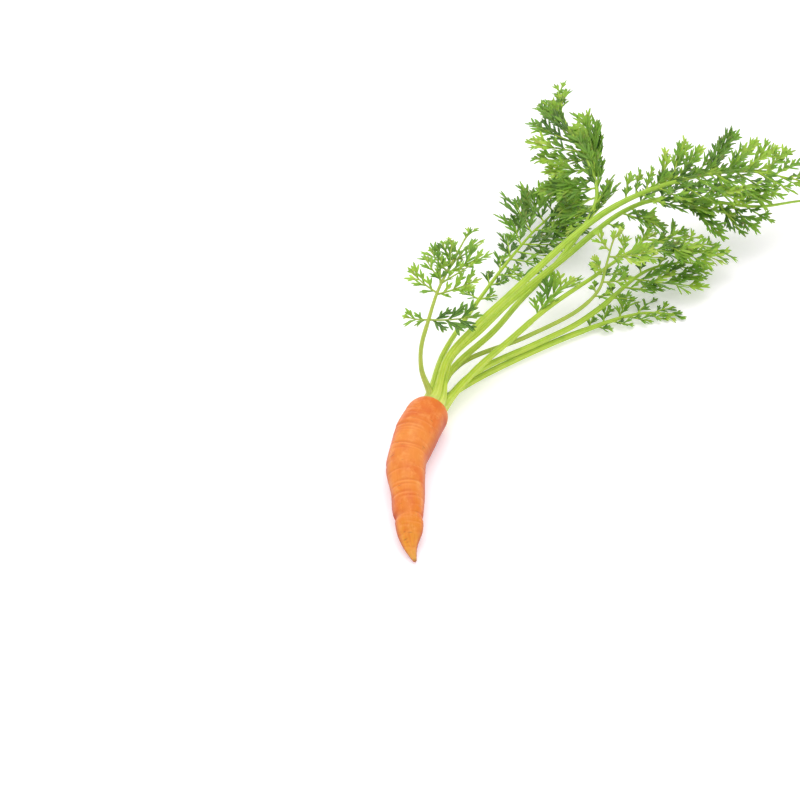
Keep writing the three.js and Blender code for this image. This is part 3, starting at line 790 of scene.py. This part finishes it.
for n, leaf in enumerate(LEAVES, 1):
    skin = olive_stalk_skin if n in OLIVE_LEAVES else fresh_stalk_skin
    mesh = grown(f"stalk_{n}_ribbed", stalk_guide(leaf), ribbed_stalk, {
        "Sides": STALK_SIDES, "Ridges": STALK_RIDGES, "Ridge Depth": RIDGE_DEPTH,
        "Channel Depth": CHANNEL_DEPTH, "Skin": skin})
    stalk = plain_object(f"stalk_{n}_ribbed", mesh)
    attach(stalk, "root")
    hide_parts(f"leaf_stalk_{n}")

# --- The fronds ----------------------------------------------------------------------------------------
# Past its lowest side blades each leaf is a feathery frond: a rib with pairs of side blades, each blade a
# finer rib with pairs of leaflets, and each leaflet cut into narrow, blunt-pointed lobes with one vein.

RIB_SIDES = 8
RIB_TIP_RADIUS = 0.45 * MM
RIB_INSIDE_STALK = 1 * MM
RIB_SHORT_OF_TIP = 2 * MM
RIB_SECTIONS_APART = 2.5 * MM
SIDE_RIB_RADII = (0.6 * MM, 0.3 * MM)
BLADE_SWEEP = 0.2
BLADE_DROOP = 0.12
TIP_BLADE_BACK = 5 * MM
TIP_BLADE_LEAN = 28
UNBRANCHED = 3 * MM
# A leaflet's length is a share of its blade's, smaller towards the blade's tip, and a little more. The
# length of a side lobe comes from its leaflet's in the same way.
LEAFLETS_APART = 6.4 * MM
FIRST_LEAFLET = 2.8 * MM
BLADE_ENDS = 4.6 * MM
LEAFLET_SHARE = 0.46
LEAFLET_TAPER = 0.55
LEAFLET_EXTRA = 2.4 * MM
LAST_LEAFLET_SHARE = 0.28
LEAFLET_RISE = 0.26
LOBES_APART = 4.6 * MM
LOBE_SHARE = 0.45
LOBE_TAPER = 0.5
LOBE_EXTRA = 1.4 * MM
LOBE_LEAN = math.radians(24)
LOBE_WIDTH = 1.0 * MM
LOBE_WIDENS = 0.07
LOBE_THICK = 0.35 * MM
LEAF_ON_TABLE = 0.3 * MM

# Half widths of a lobe at places along it, both as shares: narrow foot, widest past the middle, blunt tip.
LOBE_SECTIONS = [(0.0, 0.45), (0.3, 0.85), (0.6, 1.0), (0.84, 0.68), (0.96, 0.28)]
LOBE_FOLD = 0.5


def lobe_shape():
    """One lobe, one unit long along X and two units wide, a thin folded blade that is closed all round."""
    points = []
    for x, half in LOBE_SECTIONS:
        rise = LOBE_FOLD * half
        points += [(x, half, rise), (x, 0, 0.5), (x, -half, rise), (x, 0, -0.5)]
    points.append((1.0, 0, 0))
    faces = [(0, 1, 2, 3)]
    for i in range(0, 4 * len(LOBE_SECTIONS) - 4, 4):
        for a, b in ((0, 1), (1, 2), (2, 3), (3, 0)):
            faces.append((i + a, i + 4 + a, i + 4 + b, i + b))
    i = 4 * len(LOBE_SECTIONS) - 4
    for a, b in ((0, 1), (1, 2), (2, 3), (3, 0)):
        faces.append((i + a, i + 4, i + b))
    mesh = bpy.data.meshes.new("lobe")
    mesh.from_pydata(points, [], faces)
    on_blade = np.array([(x, y, 0) for x, y, _ in points])
    store(mesh, "on_blade", "FLOAT_VECTOR", on_blade)
    smooth_shaded(mesh)
    for edge in mesh.edges:
        sides = [v % 4 in (0, 2) and v < len(points) - 1 or v == len(points) - 1 for v in edge.vertices]
        edge.use_edge_sharp = all(sides)
    mesh.validate()
    return mesh


def feathery_frond_tree():
    tree, given, result = geometry_tree("feathery_frond", [
        ("Lobe", "NodeSocketObject"), ("Rib Sides", "NodeSocketInt"), ("Rib Skin", "NodeSocketMaterial"),
        ("Leaf Skin", "NodeSocketMaterial")])
    parts = add_node(tree, "GeometryNodeSeparateGeometry", {"domain": "POINT"}, {
        "Geometry": given["Geometry"], "Selection": named(tree, "is_lobe", "BOOLEAN")})
    shape = add_node(tree, "GeometryNodeObjectInfo", None, {"Object": given["Lobe"]})
    aimed = add_node(tree, "FunctionNodeAlignRotationToVector", {"axis": "X"}, {
        "Vector": named(tree, "aim", "FLOAT_VECTOR")})
    faced = add_node(tree, "FunctionNodeAlignRotationToVector", {"axis": "Z", "pivot_axis": "X"}, {
        "Rotation": aimed.outputs["Rotation"], "Vector": named(tree, "face", "FLOAT_VECTOR")})
    lobes = add_node(tree, "GeometryNodeInstanceOnPoints", None, {
        "Points": parts.outputs["Selection"], "Instance": shape.outputs["Geometry"],
        "Rotation": faced.outputs["Rotation"], "Scale": named(tree, "span", "FLOAT_VECTOR")})
    bars = ribbed_bar(tree, parts.outputs["Inverted"], given["Rib Sides"], 4, 0.05, 0.2)
    smooth = add_node(tree, "GeometryNodeSetShadeSmooth", None, {"Geometry": bars})
    ribs = add_node(tree, "GeometryNodeStoreNamedAttribute", {"data_type": "BOOLEAN", "domain": "FACE"}, {
        "Geometry": smooth.outputs["Geometry"], "Name": "is_rib", "Value": True})
    whole = add_node(tree, "GeometryNodeJoinGeometry")
    tree.links.new(lobes.outputs["Instances"], whole.inputs["Geometry"])
    tree.links.new(ribs.outputs["Geometry"], whole.inputs["Geometry"])
    real = add_node(tree, "GeometryNodeRealizeInstances", None, {"Geometry": whole.outputs["Geometry"]})
    leafy = add_node(tree, "GeometryNodeSetMaterial", None, {
        "Geometry": real.outputs["Geometry"], "Material": given["Leaf Skin"]})
    skinned = add_node(tree, "GeometryNodeSetMaterial", None, {
        "Geometry": leafy.outputs["Geometry"], "Selection": named(tree, "is_rib", "BOOLEAN"),
        "Material": given["Rib Skin"]})
    tree.links.new(skinned.outputs["Geometry"], result["Geometry"])
    return tree


def bent_bar(place, thick, from_foot):
    """The guide of one rib, with the same values that a lobe's guide point has."""
    count = len(place)
    empty = np.zeros((count, 3))
    return {"place": place, "thick": thick, "from_foot": np.full(count, from_foot), "aim": empty,
            "face": empty, "span": empty, "shade": np.zeros(count), "is_lobe": np.zeros(count)}


def lobe_point(foot, aim, face, length, width, shade):
    """The guide of one lobe: a loose point at its foot. A lobe that would reach below the table lies
    on it."""
    foot = np.array([foot[0], foot[1], max(foot[2], LEAF_ON_TABLE)])
    tip = foot + aim * length
    tip[2] = max(tip[2], LEAF_ON_TABLE)
    return {"place": foot[None], "thick": np.zeros(1), "from_foot": np.ones(1), "aim": unit(tip - foot)[None],
            "face": face[None], "span": np.array([[length, width / 2, LOBE_THICK]]),
            "shade": np.array([shade]), "is_lobe": np.ones(1)}


def leaflet(foot, aim, face, length, shade, rng):
    """One leaflet: a long narrow lobe with pairs of side lobes that get shorter to its tip."""
    across = np.cross(face, aim)
    wide = LOBE_WIDTH + LOBE_WIDENS * length
    made = [lobe_point(foot, aim, face, length, wide * rng.uniform(0.95, 1.15), shade)]
    pairs = max(1, round((length - UNBRANCHED) / LOBES_APART))
    for k in range(pairs):
        share = (k + 0.5) / (pairs + 0.7)
        for side in (-1, 1):
            size = (LOBE_SHARE * length * (1 - LOBE_TAPER * share) + LOBE_EXTRA) * rng.uniform(0.7, 1.25)
            lean = LOBE_LEAN * rng.uniform(0.75, 1.35)
            out = aim * math.cos(lean) + across * side * math.sin(lean)
            out = unit(out + face * rng.normal(0.06, 0.16))
            start = foot + aim * length * (share + 0.04 * side)
            width = wide * rng.uniform(0.65, 0.95)
            # Lobes further along a leaflet are painted a little lighter, painted light, on top of random
            # tone.
            tone_and_shade = shade + 0.1 * share + rng.normal(0, 0.1)
            made.append(lobe_point(start, out, face, size, width, tone_and_shade))
    return made


def side_blade(foot, out, ahead, face, length, lean, full, shade, rng):
    """One side blade of a frond: its own rib, bent a little forwards and down, and pairs of leaflets
    that rise a little to its upper side."""
    steps = np.linspace(0, 1, 9)

    def on_rib(share):
        bend = length * share ** 2
        place = foot + out * length * share + ahead * BLADE_SWEEP * bend - face * BLADE_DROOP * bend
        return place, unit(out + (ahead * BLADE_SWEEP - face * BLADE_DROOP) * 2 * share)

    rib = np.array([on_rib(share)[0] for share in steps])
    rib[:, 2] = np.maximum(rib[:, 2], LEAF_ON_TABLE)
    made = [bent_bar(rib, np.linspace(*SIDE_RIB_RADII, len(steps)), 0.8)]
    pairs = max(2, round((length - UNBRANCHED) / LEAFLETS_APART))
    for j in range(pairs):
        down = FIRST_LEAFLET + (length - BLADE_ENDS) * j / pairs
        slim = min(1, 0.65 + 1.05 * j / pairs)
        long = LEAFLET_SHARE * length * (1 - LEAFLET_TAPER * j / pairs) + LEAFLET_EXTRA
        long = long * slim * full * rng.uniform(0.75, 1.2)
        for side in (-1, 1):
            place, heading = on_rib((down + 0.8 * MM * side) / length)
            leans = math.radians(lean) * rng.uniform(0.85, 1.2)
            rise = LEAFLET_RISE + rng.normal(0, 0.14)
            aim = unit(heading * math.cos(leans) + ahead * side * math.sin(leans) + face * rise)
            turned = unit(face - ahead * side * rng.normal(0.25, 0.2))
            turned = unit(turned - aim * (turned @ aim))
            # Painted shade: leaflets near the blade's foot, deep in the frond, are painted darker, those
            # towards its tip lighter.
            tone_and_shade = shade - 0.1 + 0.4 * j / pairs + rng.normal(0, 0.12)
            made += leaflet(place, aim, turned, long, tone_and_shade, rng)
    # The last leaflet is painted lighter: painted light at the blade's end.
    place, heading = on_rib(0.78)
    upper = unit(face - heading * (face @ heading))
    made += leaflet(place, heading, upper, LAST_LEAFLET_SHARE * length + LEAFLET_EXTRA, shade + 0.25, rng)
    return made


def frond_guide(leaf, number_in_fan):
    """All ribs and lobes of one frond: its own rib, its side blades and the blade at its tip."""
    rng = np.random.default_rng(number_in_fan)
    length, at = leaf_line(leaf)
    start, end = leaf["bare"] * MM + GAP, length - RIB_SHORT_OF_TIP
    steps = round((length - start) / RIB_SECTIONS_APART)
    distances = np.linspace(leaf["bare"] * MM - RIB_INSIDE_STALK, end, steps)
    thick = np.interp(distances, [start, end], [0.99 * leaf["radius"][1] * MM, RIB_TIP_RADIUS])
    place = at(distances)[0]
    rib = bent_bar(place, thick, 0)
    rib["from_foot"] = distances / LONGEST_STALK
    made = [rib]
    for side, blades, lean in zip((-1, 1), (leaf["left"], leaf["right"]), leaf["lean"]):
        for distance, size, opens, rises in blades:
            foot, along, right, above = at(distance * MM)
            lift, opening = math.radians(rises), math.radians(opens)
            sideways = right * side * math.cos(lift) + above * math.sin(lift)
            out = along * math.cos(opening) + sideways * math.sin(opening)
            ahead = unit(along - out * (along @ out))
            face = unit(side * np.cross(out, ahead))
            shade = leaf["shade"] + rng.normal(0, 0.15)
            made += side_blade(foot, out, ahead, face, size * MM, lean, leaf["full"], shade, rng)
    # The blade at the tip is painted a little lighter: painted light at the frond's end.
    foot, along, right, above = at(length - TIP_BLADE_BACK)
    made += side_blade(foot, along, right, above, leaf["tip"] * MM, TIP_BLADE_LEAN, leaf["full"],
                       leaf["shade"] + 0.1, rng)
    return guide_mesh("frond_guide", made)


def leaf_material():
    """Soft green leaf, patchy in tone, with a pale vein down each lobe and some tips dried to olive."""
    material, tree, shader = new_material("leaf_green")
    place = add_node(tree, "ShaderNodeTexCoord").outputs["Object"]
    grown_tone = add_node(tree, "ShaderNodeGroup", {"node_tree": grown_skin}, {
        "Vector": place, "Patch Scale": 60.0, "Streak Scale": 900.0, "Pit Scale": 3000.0})
    # The shade value holds random tone and painted shade: darker deep in the fronds, lighter towards their
    # tips.
    shade = mark(tree, "shade").outputs["Fac"]
    tone_and_shade = number(tree, "ADD", shade, spread(tree, grown_tone.outputs["Patches"], 0.3, 0.75, 0.5))
    green = ramp(tree, spread(tree, tone_and_shade, 0.1, 1.3), [
        (0.0, linear(54, 94, 26)), (0.38, linear(104, 152, 38)), (0.75, linear(154, 192, 54)),
        (1.0, linear(192, 214, 92))])
    on_blade = add_node(tree, "ShaderNodeSeparateXYZ", None, {
        "Vector": mark(tree, "on_blade").outputs["Vector"]})
    near_vein = number(tree, "SUBTRACT", 1.0, spread(
        tree, number(tree, "ABSOLUTE", on_blade.outputs["Y"]), 0.0, 0.35))
    veined = mixed(tree, number(tree, "MULTIPLY", near_vein, 0.35), green, linear(170, 206, 96))
    dry = spread(tree, noise(tree, place, 210.0, 1.0), 0.52, 0.66, 0.7)
    at_tip = number(tree, "MULTIPLY", spread(tree, on_blade.outputs["X"], 0.55, 1.0), dry)
    tipped = mixed(tree, at_tip, veined, linear(132, 122, 60))
    rough = number(tree, "MULTIPLY_ADD", grown_tone.outputs["Pits"], 0.2, 0.42)
    bump = add_node(tree, "ShaderNodeBump", None, {
        "Strength": 0.4, "Distance": 0.05 * MM, "Height": grown_tone.outputs["Pits"]})
    feed_named(tree, shader, {
        "Base Color": tipped, "Roughness": rough, "Normal": bump.outputs["Normal"],
        "Subsurface Weight": 0.3, "Subsurface Radius": (0.5, 1.0, 0.2), "Subsurface Scale": 0.8 * MM,
        "Specular IOR Level": 0.35})
    return material


leaf_skin = leaf_material()
feathery_frond = feathery_frond_tree()
lobe = plain_object("lobe", lobe_shape())
for n, leaf in enumerate(LEAVES, 1):
    skin = olive_stalk_skin if n in OLIVE_LEAVES else fresh_stalk_skin
    mesh = grown(f"frond_{n}_feathery", frond_guide(leaf, n), feathery_frond, {
        "Lobe": lobe, "Rib Sides": RIB_SIDES, "Rib Skin": skin, "Leaf Skin": leaf_skin})
    frond = plain_object(f"frond_{n}_feathery", mesh)
    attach(frond, "root")
    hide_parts(f"leaf_frond_{n}")
bpy.data.objects.remove(lobe)
